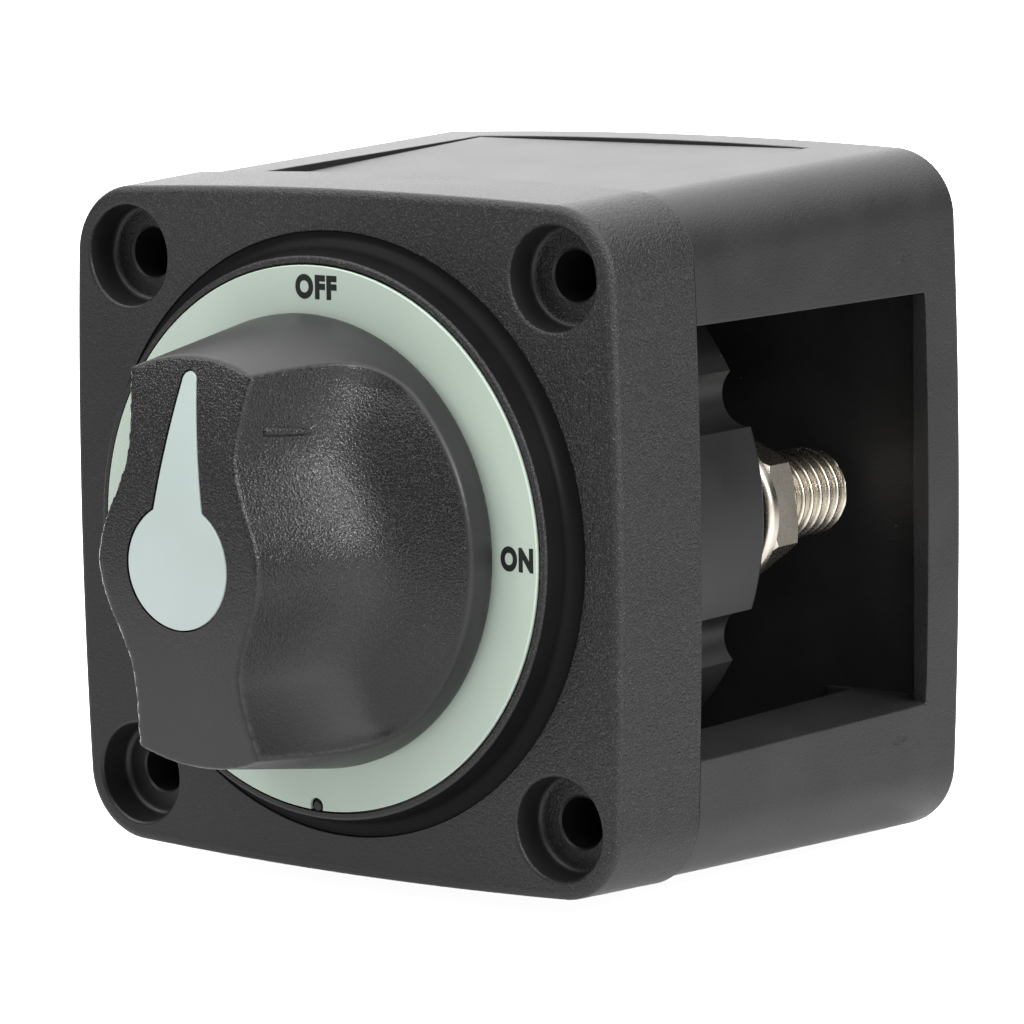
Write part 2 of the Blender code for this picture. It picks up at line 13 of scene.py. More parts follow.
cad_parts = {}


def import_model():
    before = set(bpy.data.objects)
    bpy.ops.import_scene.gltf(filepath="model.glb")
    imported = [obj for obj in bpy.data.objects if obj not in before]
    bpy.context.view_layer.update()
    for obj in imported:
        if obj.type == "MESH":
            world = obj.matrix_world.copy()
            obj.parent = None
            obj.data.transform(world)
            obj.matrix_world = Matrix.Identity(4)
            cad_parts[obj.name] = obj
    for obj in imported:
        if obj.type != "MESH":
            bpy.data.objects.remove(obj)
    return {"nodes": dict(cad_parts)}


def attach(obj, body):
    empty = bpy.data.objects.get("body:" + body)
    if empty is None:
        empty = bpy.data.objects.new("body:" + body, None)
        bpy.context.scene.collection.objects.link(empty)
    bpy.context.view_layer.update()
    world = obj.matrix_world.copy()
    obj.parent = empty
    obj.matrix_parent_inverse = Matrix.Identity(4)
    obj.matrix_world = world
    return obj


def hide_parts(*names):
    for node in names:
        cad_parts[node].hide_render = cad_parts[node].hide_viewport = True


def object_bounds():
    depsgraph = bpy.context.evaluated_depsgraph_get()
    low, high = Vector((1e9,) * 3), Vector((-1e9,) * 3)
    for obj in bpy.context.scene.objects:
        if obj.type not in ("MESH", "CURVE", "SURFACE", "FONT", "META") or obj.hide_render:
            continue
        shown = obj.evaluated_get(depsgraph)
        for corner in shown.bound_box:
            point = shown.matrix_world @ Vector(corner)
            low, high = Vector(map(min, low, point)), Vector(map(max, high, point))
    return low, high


MM = 0.001
FULL = 2 * math.pi

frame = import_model()
cad_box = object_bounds()

# Sizes shared with the CAD, apart from the nuts' turn.
DEPTH = 58.8 * MM  # face plate's plane to the rear mounting face
FACE_HALF = 34.4 * MM
BULGE = 0.6 * MM
CORNER = 7.2 * MM
FACE_DRAFT = 0.046
COVER_DRAFT = 0.031
PARTING = 13.1 * MM
GAP = 0.3 * MM
WALL = 2.4 * MM
HOLE_PITCH_HALF = 26.75 * MM
HOLE_R = 2.55 * MM
COUNTERBORE_R = 5.1 * MM
COUNTERBORE_DEPTH = 3.85 * MM
BOSS_R = 28.1 * MM
BOSS_HEIGHT = 3.3 * MM
BOSS_RING_R = 30.3 * MM
BOSS_RING_DEPTH = 0.2 * MM
LABEL_R = 27.2 * MM
LABEL_HEIGHT = 3.55 * MM
PEG_OFFSET = 26.8 * MM
PEG_X = -0.5 * MM
KNOB_BASE = 4.0 * MM
KNOB_HEIGHT = 24.6 * MM
CROWN_R = 65.0 * MM
KNOB_BASE_R = 22.6 * MM
KNOB_FRONT_R = 19.4 * MM
SKIRT_RIM = 7.2 * MM
SCOOP_WALL = 5.0  # slope of a scoop's wall where it leaves the grip
SCOOP_FALL = 0.45  # slope of its floor
SCOOP_END_WALL = 3.0
SCOOP_END = 19.8 * MM
SCOOP_BLEND = 14.0 * MM
WAIST = 6.6 * MM
EYE = 9.9 * MM
POINTER_DISC_R = 6.15 * MM
POINTER_TIP = 18.6 * MM
POINTER_ROOT_HALF = 3.05 * MM
POINTER_TIP_HALF = 0.9 * MM
BODY_R = 29.6 * MM
BODY_FRONT = 9.3 * MM
BODY_REAR = 32.2 * MM
BODY_SCREW_X = 27.6 * MM
BODY_SCREW_Z = 12.4 * MM
SCALLOP_R = 3.15 * MM
STUD_X = 21.8 * MM
STUD_R = 4.65 * MM
STUD_END = 52.8 * MM
THREAD_PITCH = 25.4 * MM / 16
WASHER_R = 8.2 * MM
WASHER_THICK = 1.4 * MM
NUT_FLATS = 14.3 * MM
NUT_THICK = 4.5 * MM
NUT_TURN = math.radians(7)  # the solids' nuts are turned 11 degrees
WINDOW_HALF = 21.4 * MM
WINDOW_REAR = 52.3 * MM
BACK_WALL = 3.0 * MM
PILLAR_CHAMFER = 3.0 * MM
PLATE_THICK = 1.8 * MM
PLATE_FRONT_DROP = 1.5 * MM
PLATE_REAR_DROP = 0.45 * MM


def at(depth):
    """World Y of a depth behind the face plate's plane."""
    return depth - DEPTH


def half_at(depth):
    """Half the box's width at a depth."""
    return FACE_HALF + FACE_DRAFT * min(depth, PARTING) + COVER_DRAFT * max(0.0, depth - PARTING)


def corners(x, z):
    return [(sx * x, sz * z) for sx in (-1, 1) for sz in (-1, 1)]


HOLE_CENTRES = corners(HOLE_PITCH_HALF, HOLE_PITCH_HALF)
SCREW_CENTRES = corners(BODY_SCREW_X, BODY_SCREW_Z)


# Shapes: lists of points and faces.


def loft(rings):
    """A closed solid through rings of equal length, capped at both ends."""
    size = len(rings[0])
    points = [point for ring in rings for point in ring]
    faces = [list(range(size))[::-1]]
    for row in range(len(rings) - 1):
        for i in range(size):
            j = (i + 1) % size
            faces.append([row * size + i, row * size + j, (row + 1) * size + j, (row + 1) * size + i])
    faces.append([(len(rings) - 1) * size + i for i in range(size)])
    return points, faces


def circle(radius, depth, x=0.0, z=0.0, count=96, turn=0.0):
    angles = [turn + FULL * i / count for i in range(count)]
    return [Vector((x + radius * math.cos(a), at(depth), z + radius * math.sin(a))) for a in angles]


def rod(radius, front, rear, x=0.0, z=0.0, count=64, turn=0.0):
    return loft([circle(radius, front, x, z, count, turn), circle(radius, rear, x, z, count, turn)])


def turned(profile, x=0.0, z=0.0, count=96):
    """A solid turned about an axis along Y, through (radius, depth) points."""
    return loft([circle(radius, depth, x, z, count) for radius, depth in profile])


def tube(profile, x=0.0, z=0.0, count=96):
    """A ring turned about an axis along Y from a closed (radius, depth) outline."""
    rings = [circle(radius, depth, x, z, count) for radius, depth in profile]
    points = [point for ring in rings for point in ring]
    faces = []
    for row in range(len(rings)):
        after = (row + 1) % len(rings)
        for i in range(count):
            j = (i + 1) % count
            faces.append([row * count + i, row * count + j, after * count + j, after * count + i])
    return points, faces


def block(low, high):
    """A box between two corners given as (x, depth, z)."""
    (x0, d0, z0), (x1, d1, z1) = low, high
    around = ((x0, z0), (x1, z0), (x1, z1), (x0, z1))
    return loft([[Vector((x, at(d), z)) for x, z in around] for d in (d0, d1)])


def merged(shapes):
    points, faces = [], []
    for shape_points, shape_faces in shapes:
        start = len(points)
        points += shape_points
        faces += [[start + i for i in face] for face in shape_faces]
    return points, faces


def arc(centre_radius, centre_depth, radius, first, last, steps=6):
    """(radius, depth) points on an arc of a turned profile. Angles are in degrees, 90 backwards."""
    angles = [math.radians(first + (last - first) * i / steps) for i in range(steps + 1)]
    return [(centre_radius + radius * math.cos(a), centre_depth + radius * math.sin(a)) for a in angles]


def pillow(half, depth, corner=CORNER, steps=25, corner_steps=14):
    """The box's outline: four bowed sides joined by round corners."""
    centre = half - BULGE - corner
    quarter = []
    for i in range(steps + 1):
        across = -1 + 2 * i / steps
        quarter.append((half - BULGE * across**2, centre * across))
    for i in range(1, corner_steps):
        angle = math.pi / 2 * i / corner_steps
        quarter.append((centre + corner * math.cos(angle), centre + corner * math.sin(angle)))
    points = []
    for turn in range(4):
        c, s = math.cos(turn * math.pi / 2), math.sin(turn * math.pi / 2)
        points += [Vector((c * x - s * z, at(depth), s * x + c * z)) for x, z in quarter]
    return points


# Objects.


def raw_object(name, shape):
    points, faces = shape
    mesh = bpy.data.meshes.new(name)
    mesh.from_pydata(points, [], faces)
    work = bmesh.new()
    work.from_mesh(mesh)
    bmesh.ops.recalc_face_normals(work, faces=work.faces)
    work.to_mesh(mesh)
    work.free()
    obj = bpy.data.objects.new(name, mesh)
    bpy.context.scene.collection.objects.link(obj)
    return obj


def bake_modifiers(obj):
    """Replaces the object's mesh by what its modifiers make of it."""
    graph = bpy.context.evaluated_depsgraph_get()
    mesh = bpy.data.meshes.new_from_object(obj.evaluated_get(graph))
    old = obj.data
    obj.modifiers.clear()
    obj.data = mesh
    bpy.data.meshes.remove(old)
    mesh.name = obj.name


def combine(obj, operation, shapes):
    """Cuts, joins or trims with shapes that don't touch each other, and bakes the result."""
    helper = raw_object("helper", merged(shapes))
    boolean = obj.modifiers.new("combine", "BOOLEAN")
    boolean.operation = operation
    boolean.solver = "EXACT"
    boolean.object = helper
    bake_modifiers(obj)
    mesh = helper.data
    bpy.data.objects.remove(helper)
    bpy.data.meshes.remove(mesh)


def cut(obj, shapes):
    combine(obj, "DIFFERENCE", shapes)


def join(obj, shapes):
    combine(obj, "UNION", shapes)


def soften(obj, width, segments=2, angle=40):
    """Rounds the edges that are sharper than an angle."""
    bevel = obj.modifiers.new("edge_radius", "BEVEL")
    bevel.limit_method = "ANGLE"
    bevel.angle_limit = math.radians(angle)
    bevel.width = width
    bevel.segments = segments
    bevel.use_clamp_overlap = True
    bake_modifiers(obj)


def shade(obj, angle=35):
    """Smooth shading up to an angle, with flat faces kept flat."""
    obj.data.shade_smooth()
    obj.data.set_sharp_from_angle(angle=math.radians(angle))
    weighted = obj.modifiers.new("face_normals", "WEIGHTED_NORMAL")
    weighted.keep_sharp = True
    weighted.weight = 80


def piece(obj, finish, slot, body, *nodes, angle=35):
    """Shades a finished mesh, gives it its material and seats it on its CAD body in place of its nodes."""
    shade(obj, angle)
    obj.data.materials.clear()
    obj.data.materials.append(finish)
    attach(obj, body)
    if nodes:
        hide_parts(*nodes)


# Materials.


class Nodes:
    """A short way to add nodes and links to a material or the world."""

    def __init__(self, owner, shader="Principled BSDF", place="Object"):
        owner.use_nodes = True
        self.owner = owner
        self.tree = owner.node_tree
        self.shader = self.tree.nodes[shader]
        self.place = self.tree.nodes.new("ShaderNodeTexCoord").outputs[place]

    def add(self, kind, inputs=None, **settings):
        node = self.tree.nodes.new(kind)
        for key, value in settings.items():
            setattr(node, key, value)
        for key, value in (inputs or {}).items():
            self.put(node.inputs[key], value)
        return node

    def put(self, socket, value):
        if isinstance(value, bpy.types.NodeSocket):
            self.tree.links.new(value, socket)
        else:
            socket.default_value = value

    def noise(self, size, detail=2.0, roughness=0.5):
        """Noise whose features are about size metres across."""
        inputs = {"Vector": self.place, "Scale": 1 / size, "Detail": detail, "Roughness": roughness}
        return self.add("ShaderNodeTexNoise", inputs).outputs["Fac"]

    def cells(self, size):
        return self.add("ShaderNodeTexVoronoi", {"Vector": self.place, "Scale": 1 / size})

    def math(self, operation, first, second=0.0, third=0.0):
        node = self.add("ShaderNodeMath", operation=operation)
        for socket, value in zip(node.inputs, (first, second, third)):
            self.put(socket, value)
        return node.outputs[0]

    def spread(self, value, low, high, from_low=0.0, from_high=1.0, easing="LINEAR"):
        """Maps a value from one range to another, clamped."""
        inputs = {"Value": value, "From Min": from_low, "From Max": from_high}
        inputs.update({"To Min": low, "To Max": high})
        return self.add("ShaderNodeMapRange", inputs, interpolation_type=easing).outputs["Result"]

    def along(self, direction):
        """How far a point lies along a direction."""
        inputs = {0: self.place, 1: direction}
        return self.add("ShaderNodeVectorMath", inputs, operation="DOT_PRODUCT").outputs["Value"]

    def outside(self, centre, half):
        """Distance outside a box."""
        from_centre = self.add("ShaderNodeVectorMath", {0: self.place, 1: centre}, operation="SUBTRACT")
        folded = self.add("ShaderNodeVectorMath", {0: from_centre.outputs[0]}, operation="ABSOLUTE")
        beyond = self.add("ShaderNodeVectorMath", {0: folded.outputs[0], 1: half}, operation="SUBTRACT")
        kept = self.add("ShaderNodeVectorMath", {0: beyond.outputs[0]}, operation="MAXIMUM")
        return self.add("ShaderNodeVectorMath", {0: kept.outputs[0]}, operation="LENGTH").outputs["Value"]

    def blend(self, share, first, second):
        node = self.add("ShaderNodeMix", data_type="RGBA")
        for socket, value in zip((node.inputs[0], node.inputs[6], node.inputs[7]), (share, first, second)):
            self.put(socket, value)
        return node.outputs[2]

    def bump(self, height, depth, strength=1.0):
        """A bump of a depth in metres."""
        inputs = {"Height": height, "Distance": depth, "Strength": strength}
        return self.add("ShaderNodeBump", inputs).outputs["Normal"]

    def set(self, **inputs):
        for key, value in inputs.items():
            self.put(self.shader.inputs[key.replace("_", " ")], value)
        return self.owner


def new_material(name):
    return Nodes(bpy.data.materials.new(name))


def grey(value, blue=1.0):
    """An opaque grey, with its blue channel scaled."""
    return (value, value, value * blue, 1.0)


def dust(nodes, colour, amount):
    """Sparse pale specks, a tenth of a millimetre across, over a colour."""
    speck = nodes.cells(1.3 * MM)
    radius = 0.045
    near = nodes.math("LESS_THAN", speck.outputs["Distance"], radius)
    channels = nodes.add("ShaderNodeSeparateColor", {"Color": speck.outputs["Color"]})
    chosen = nodes.math("LESS_THAN", channels.outputs[0], amount)
    share = nodes.math("MULTIPLY", near, chosen)
    return nodes.blend(share, colour, (0.32, 0.31, 0.29, 1.0))


def grained_plastic(name, depth, roughness, tone, painted_glint_amount, fade=None):
    """Black moulded plastic with a pebbled grain, a finer bumpy sparkle and pale specks painted in as
    glints of light, which may fade along a direction.
    """
    nodes = new_material(name)
    wide = nodes.noise(9 * MM, 3.0)
    pebble = nodes.cells(0.26 * MM).outputs["Distance"]
    sparkle = nodes.noise(0.11 * MM, 1.0)
    hollow = nodes.math("MULTIPLY", pebble, pebble)
    height = nodes.math("MULTIPLY_ADD", sparkle, 0.9, nodes.math("SUBTRACT", 1.0, hollow))
    if fade:
        direction, low, high, least = fade
        share = nodes.spread(nodes.along(direction), least, 1.0, low, high, "SMOOTHSTEP")
        height = nodes.math("MULTIPLY", height, share)
        painted_glint_amount = nodes.math("MULTIPLY", share, painted_glint_amount)
    dark, pale = grey(0.8 * tone, 1.025), grey(1.25 * tone, 1.024)
    colour = nodes.blend(nodes.spread(wide, 0.0, 1.0, 0.3, 0.7), dark, pale)
    # Pale specks painted into the colour where the sparkle noise peaks: painted glints of light on the
    # grain's facets.
    painted_glint_share = nodes.spread(sparkle, 0.0, painted_glint_amount, 0.58, 0.72)
    colour = nodes.blend(painted_glint_share, colour, grey(0.16))
    rough = nodes.spread(wide, roughness - 0.01, roughness + 0.015, 0.3, 0.7)
    return nodes.set(
        Base_Color=dust(nodes, colour, 0.02),
        Roughness=rough,
        Normal=nodes.bump(height, depth),
        IOR=1.5,
    )


def smooth_plastic(name, roughness, tone=0.014, shine=0.5):
    """Black plastic off a polished tool, with faint flow marks."""
    nodes = new_material(name)
    flow = nodes.noise(6 * MM, 4.0, 0.6)
    fine = nodes.noise(0.35 * MM, 2.0)
    colour = nodes.blend(flow, grey(0.8 * tone), grey(1.3 * tone, 1.35 / 1.3))
    rough = nodes.spread(flow, roughness - 0.03, roughness + 0.04, 0.3, 0.7)
    return nodes.set(
        Base_Color=dust(nodes, colour, 0.008),
        Roughness=rough,
        Normal=nodes.bump(fine, 0.004 * MM, 0.6),
        Specular_IOR_Level=shine,
        IOR=1.5,
    )


def label_film(name, pale, deep, roughness, coat):
    """Glow-in-the-dark film: a milky pale green with a slight mottle under a clear face."""
    nodes = new_material(name)
    wide = nodes.noise(14 * MM, 3.0)
    fine = nodes.noise(0.25 * MM, 3.0)
    mottle = nodes.math("MULTIPLY_ADD", fine, 0.25, wide)
    colour = nodes.blend(nodes.spread(mottle, 0.0, 1.0, 0.4, 0.85), deep, pale)
    return nodes.set(
        Base_Color=colour,
        Roughness=nodes.spread(fine, roughness - 0.05, roughness + 0.05),
        Normal=nodes.bump(fine, 0.006 * MM, 0.5),
        Coat_Weight=coat,
        Coat_Roughness=0.12,
        IOR=1.48,
    )


def ink(name):
    nodes = new_material(name)
    fine = nodes.noise(0.12 * MM, 2.0)
    colour = nodes.blend(fine, (0.008, 0.011, 0.01, 1.0), (0.022, 0.027, 0.025, 1.0))
    return nodes.set(Base_Color=colour, Roughness=nodes.spread(fine, 0.4, 0.55), Specular_IOR_Level=0.2)


def metal(name, bright, dull, roughness):
    """Plated metal: fine scratches, a slightly dull film in places."""
    nodes = new_material(name)
    film = nodes.noise(2.5 * MM, 4.0, 0.6)
    fine = nodes.noise(0.3 * MM, 3.0)
    colour = nodes.blend(nodes.spread(film, 0.0, 1.0, 0.35, 0.7), bright, dull)
    rough = nodes.math("MULTIPLY_ADD", fine, 0.12, nodes.spread(film, roughness - 0.05, roughness + 0.06))
    return nodes.set(
        Base_Color=colour,
        Metallic=1.0,
        Roughness=rough,
        Normal=nodes.bump(fine, 0.004 * MM, 0.5),
    )


def rubber(name):
    nodes = new_material(name)
    fine = nodes.noise(0.2 * MM, 3.0)
    colour = nodes.blend(fine, grey(0.012), grey(0.03))
    return nodes.set(
        Base_Color=colour,
        Roughness=nodes.spread(fine, 0.7, 0.85),
        Normal=nodes.bump(fine, 0.01 * MM, 0.6),
    )


# A fade: a direction, the places along it where the grain and its painted glints start to grow and are
# full, and its least share. The glints are painted strongest towards the lit top and right.
FACE_FADE = ((0.75, 0.0, 0.65), -16 * MM, 14 * MM, 0.2)
GRIP_FADE = ((0.3, 0.0, 0.95), -14 * MM, 8 * MM, 0.2)
HOUSING = grained_plastic("housing_grain", 0.06 * MM, 0.4, 0.008, 0.5, FACE_FADE)
POLISHED = smooth_plastic("housing_polished", 0.42, 0.006, 0.08)
HOLE = smooth_plastic("housing_holes", 0.4)
COVER = grained_plastic("cover_grain", 0.02 * MM, 0.42, 0.018, 0.1)
PLATE = grained_plastic("plate_grain", 0.012 * MM, 0.42, 0.011, 0.05)
KNOB = grained_plastic("knob_grain", 0.045 * MM, 0.18, 0.009, 0.4, GRIP_FADE)
SKIRT = smooth_plastic("knob_skirt", 0.4, 0.012)
BODY = smooth_plastic("switch_body_plastic", 0.4)
CARRIER = smooth_plastic("carrier_plastic", 0.35)
DIAL = label_film("dial_film", (0.54, 0.64, 0.56, 1.0), (0.49, 0.58, 0.50, 1.0), 0.42, 0.15)
POINTER = label_film("pointer_film", (0.49, 0.57, 0.56, 1.0), (0.45, 0.53, 0.50, 1.0), 0.3, 0.6)
INK = ink("dial_ink")
TIN = metal("tinned_brass", (0.86, 0.80, 0.69, 1.0), (0.66, 0.60, 0.50, 1.0), 0.2)
ZINC = metal("zinc_plate", (0.72, 0.73, 0.74, 1.0), (0.52, 0.53, 0.53, 1.0), 0.28)
COPPER = metal("contact_copper", (0.83, 0.42, 0.25, 1.0), (0.58, 0.27, 0.15, 1.0), 0.3)
RUBBER = rubber("seal_rubber")


# Front housing and dial.


def front_housing():
    edge, parting_step = 0.9 * MM, 0.25 * MM
    hidden, pillar_end = 2 * MM, 12.8 * MM
    pillar_r, spindle_r, post_r, pilot_r = 6.6 * MM, 5.3 * MM, 3.1 * MM, 1.75 * MM
    rings = []
    for i in range(9):
        turn = math.pi / 2 * i / 8
        inset = edge * (1 - math.sin(turn))
        depth = edge * (1 - math.cos(turn))
        rings.append(pillow(half_at(depth) - inset, depth, CORNER - inset))
    rings.append(pillow(half_at(PARTING - parting_step), PARTING - parting_step))
    rings.append(pillow(half_at(PARTING) - 0.2 * MM, PARTING))
    rings.append(pillow(half_at(PARTING) - WALL, PARTING, CORNER - WALL))
    rings.append(pillow(half_at(0) - WALL, 3 * MM, CORNER - WALL))
    housing = raw_object("front_housing_shell", loft(rings))
    join(housing, [rod(pillar_r, hidden, pillar_end, x, z) for x, z in HOLE_CENTRES])
    cut(housing, [boss_ring()])
    join(housing, [dial_boss()])
    join(housing, [seal_wall()])
    join(housing, [rod(post_r, hidden, 9 * MM, x, z) for x, z in SCREW_CENTRES])
    join(housing, stop_lugs())
    cut(housing, [rod(LABEL_R + 0.25 * MM, -BOSS_HEIGHT - MM, -BOSS_HEIGHT + 0.5 * MM, count=160)])
    join(housing, [label_peg()])
    cut(housing, [counterbored_hole(x, z) for x, z in HOLE_CENTRES] + [rod(spindle_r, -8 * MM, 8 * MM)])
    cut(housing, [rod(pilot_r, 4.2 * MM, 10 * MM, x, z, 32) for x, z in SCREW_CENTRES])
    piece(housing, HOUSING, "black_textured", "housing", "front_housing")
    housing.data.materials.append(POLISHED)
    housing.data.materials.append(HOLE)
    for face in housing.data.polygons:
        face.material_index = housing_finish(face.center, face.normal)


def seal_wall():
    """A round wall inside the face, for the gasket of the switch body."""
    near, far = 23.6 * MM, 26.1 * MM
    front, rear = 2.2 * MM, 8 * MM
    return tube([(near, front), (far, front), (far, rear), (near, rear)])


def stop_lugs():
    """Two stops inside the face, one at each end of the rotor finger's quarter turn."""
    front, rear = 2.2 * MM, 8.6 * MM
    near, far = 14.6 * MM, 18.2 * MM
    at_off = block((-5.4 * MM, front, near), (-2.1 * MM, rear, far))
    at_on = block((near, front, -5.4 * MM), (far, rear, -2.1 * MM))
    return [at_off, at_on]


def dial_boss():
    """The raised round platform: rounded lip, plain wall and a fillet down to the floor of its ring."""
    lip, fillet = 0.3 * MM, 1.5 * MM
    profile = arc(BOSS_R - lip, -BOSS_HEIGHT + lip, lip, -90, 0)
    foot = BOSS_RING_R - 0.25 * MM - fillet
    profile += arc(foot + fillet, BOSS_RING_DEPTH - fillet, fillet, 180, 90, 10)
    profile.append((foot + fillet, 1.2 * MM))
    return turned(profile, count=192)


def boss_ring():
    """A shallow polished ring sunk round the boss, with a crisp outer edge."""
    edge, above, inner = 0.12 * MM, -0.5 * MM, 26 * MM
    profile = [(BOSS_RING_R + 2 * edge, above)]
    profile += arc(BOSS_RING_R + edge, edge, edge, 270, 180, 4)
    profile.append((BOSS_RING_R - 0.05 * MM, BOSS_RING_DEPTH))
    profile += [(inner, BOSS_RING_DEPTH), (inner, above)]
    return tube(profile, count=192)


def housing_finish(centre, normal):
    """Material number of a face: 1 on the polished band round the boss, 2 in the holes, 0 on the grain."""
    radius, height = math.hypot(centre.x, centre.z), at(0) - centre.y
    if BOSS_R - 0.1 * MM < radius < BOSS_RING_R and -0.5 * MM < height < BOSS_HEIGHT - 0.35 * MM:
        return 1
    beside = min(math.hypot(centre.x - x, centre.z - z) for x, z in HOLE_CENTRES)
    return 2 if beside < COUNTERBORE_R + 0.02 * MM and abs(normal.y) < 0.8 else 0


def label_peg():
    """The small peg that keeps the dial's film from turning."""
    profile = [(0.4 * MM, -3.45 * MM), (0.5 * MM, -3.35 * MM), (0.5 * MM, -1.5 * MM)]
    return turned(profile, PEG_X, -PEG_OFFSET, 24)


def counterbored_hole(x, z):
    """A counterbore with a rounded mouth, a fillet round its flat floor and the through hole."""
    lip, foot = 0.4 * MM, 0.7 * MM
    profile = [(COUNTERBORE_R + lip, -0.3 * MM)]
    profile += arc(COUNTERBORE_R + lip, lip, lip, 270, 180, 5)
    profile += arc(COUNTERBORE_R - foot, COUNTERBORE_DEPTH - foot, foot, 0, 90, 6)
    profile.append((HOLE_R + 0.2 * MM, COUNTERBORE_DEPTH))
    profile.append((HOLE_R, COUNTERBORE_DEPTH + 0.2 * MM))
    profile.append((HOLE_R, PARTING + MM))
    return turned(profile, x, z, 72)


def dial_label():
    front, back = -LABEL_HEIGHT, -BOSS_HEIGHT + 0.2 * MM
    inner, edge = 18.5 * MM, 0.08 * MM
    outline = [(inner, front), (LABEL_R - edge, front), (LABEL_R, front + edge)]
    outline += [(LABEL_R, back), (inner, back)]
    label = raw_object("dial_ring", tube(outline, count=192))
    cut(label, [rod(0.85 * MM, -6 * MM, 0.0, PEG_X, -PEG_OFFSET, 32)])
    piece(label, DIAL, "pale_label", "housing", "dial_label")
    letter_height = 2.45 * MM
    dial_word("OFF", (0.7 * MM, 25.1 * MM), 5.2 * MM, letter_height)
    dial_word("ON", (24.85 * MM, 0.0), 3.9 * MM, letter_height)


def dial_word(word, centre, width, height):
    """A position mark printed on the dial ring, as a film a few hundredths of a millimetre thick."""
    text = bpy.data.curves.new(word, "FONT")
    text.body = word
    text.size = 1.0
    text.offset = 0.06
    text.space_character = 1.16
    text.extrude = 0.5
    source = bpy.data.objects.new(word, text)
    bpy.context.scene.collection.objects.link(source)
    graph = bpy.context.evaluated_depsgraph_get()
    mesh = bpy.data.meshes.new_from_object(source.evaluated_get(graph))
    bpy.data.objects.remove(source)
    xs = [v.co.x for v in mesh.vertices]
    ys = [v.co.y for v in mesh.vertices]
    across, up = width / (max(xs) - min(xs)), height / (max(ys) - min(ys))
    middle_x, middle_y = (max(xs) + min(xs)) / 2, (max(ys) + min(ys)) / 2
    film = 0.03 * MM
    for v in mesh.vertices:
        x, y, z = v.co
        on_dial_x = centre[0] + (x - middle_x) * across
        on_dial_z = centre[1] + (y - middle_y) * up
        v.co = Vector((on_dial_x, at(-LABEL_HEIGHT) - z * film, on_dial_z))
    mark = bpy.data.objects.new(f"dial_mark_{word}", mesh)
    bpy.context.scene.collection.objects.link(mark)
    mark.data.materials.append(INK)
    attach(mark, "housing")


# Knob and pointer.


def crown(z):
    """Height of the grip's front at height z."""
    return KNOB_HEIGHT - z**2 / (2 * CROWN_R)


def crowned_slab():
    """A slab under the crown's curve, wider than the knob, which trims the knob's front."""
    reach = 26 * MM
    heights = [reach * (i / 50 - 1) for i in range(101)]
    outline = [(-crown(z), z) for z in heights] + [(-MM, reach), (-MM, -reach)]
    return loft([[Vector((x, at(depth), z)) for depth, z in outline] for x in (-reach, reach)])


def grip_half(z):
    """Half-width of the grip: wide round the pointer's disc, waisted, then flared at the ends."""
    waist_z, flare = 11.5 * MM, 2.0 * MM
    reach = abs(z) / waist_z
    if reach < 1:
        return WAIST + (EYE - WAIST) * (1 + math.cos(math.pi * reach)) / 2
    return WAIST + flare * (reach - 1) ** 1.5


def blended_max(first, second, width):
    """The larger of two heights, with a round inner corner where they meet."""
    overlap = max(width - abs(first - second), 0.0)
    return max(first, second) + overlap**2 / (4 * width)


def scoop_height(x, z):
    """Height of a scooped flank: a steep wall that eases onto a floor, and a rise at both ends."""
    start = grip_half(z)
    rim = max(math.sqrt(max(KNOB_BASE_R**2 - z**2, 0.0)), start + 1 * MM)
    floor = SKIRT_RIM + SCOOP_FALL * (rim - x)
    top = crown(z) + 0.2 * MM
    drop = top - SKIRT_RIM - SCOOP_FALL * (rim - start)
    left = max(rim - x, 0.0) / (rim - start)
    wall = floor + drop * left ** (SCOOP_WALL * (rim - start) / drop)
    end = SKIRT_RIM + SCOOP_END_WALL * (abs(z) - SCOOP_END)
    return min(top, blended_max(wall, end, SCOOP_BLEND))


def scoop(side):
    """The material taken off one flank of the knob. Its columns crowd towards the steep wall."""
    rows, columns, crowding = 121, 60, 1.6
    ceiling, outer = KNOB_HEIGHT + 4 * MM, 26 * MM
    reach = KNOB_BASE_R + 1.4 * MM
    floor, top = [], []
    for i in range(rows + 1):
        z = reach * (2 * i / rows - 1)
        start = grip_half(z)
        for j in range(columns + 1):
            x = start + (outer - start) * (j / columns) ** crowding
            floor.append(Vector((side * x, at(-scoop_height(x, z)), z)))
            top.append(Vector((side * x, at(-ceiling), z)))
    wide = columns + 1
    count = len(floor)
    faces = []
    for i in range(rows):
        for j in range(columns):
            a = i * wide + j
            faces.append([a, a + 1, a + wide + 1, a + wide])
            faces.append([count + a + wide, count + a + wide + 1, count + a + 1, count + a])
    border = list(range(columns))
    border += [i * wide + columns for i in range(rows)]
    border += [rows * wide + columns - j for j in range(columns)]
    border += [(rows - i) * wide for i in range(rows)]
    for a, b in zip(border, border[1:] + border[:1]):
        faces.append([a, b, count + b, count + a])
    return floor + top, faces


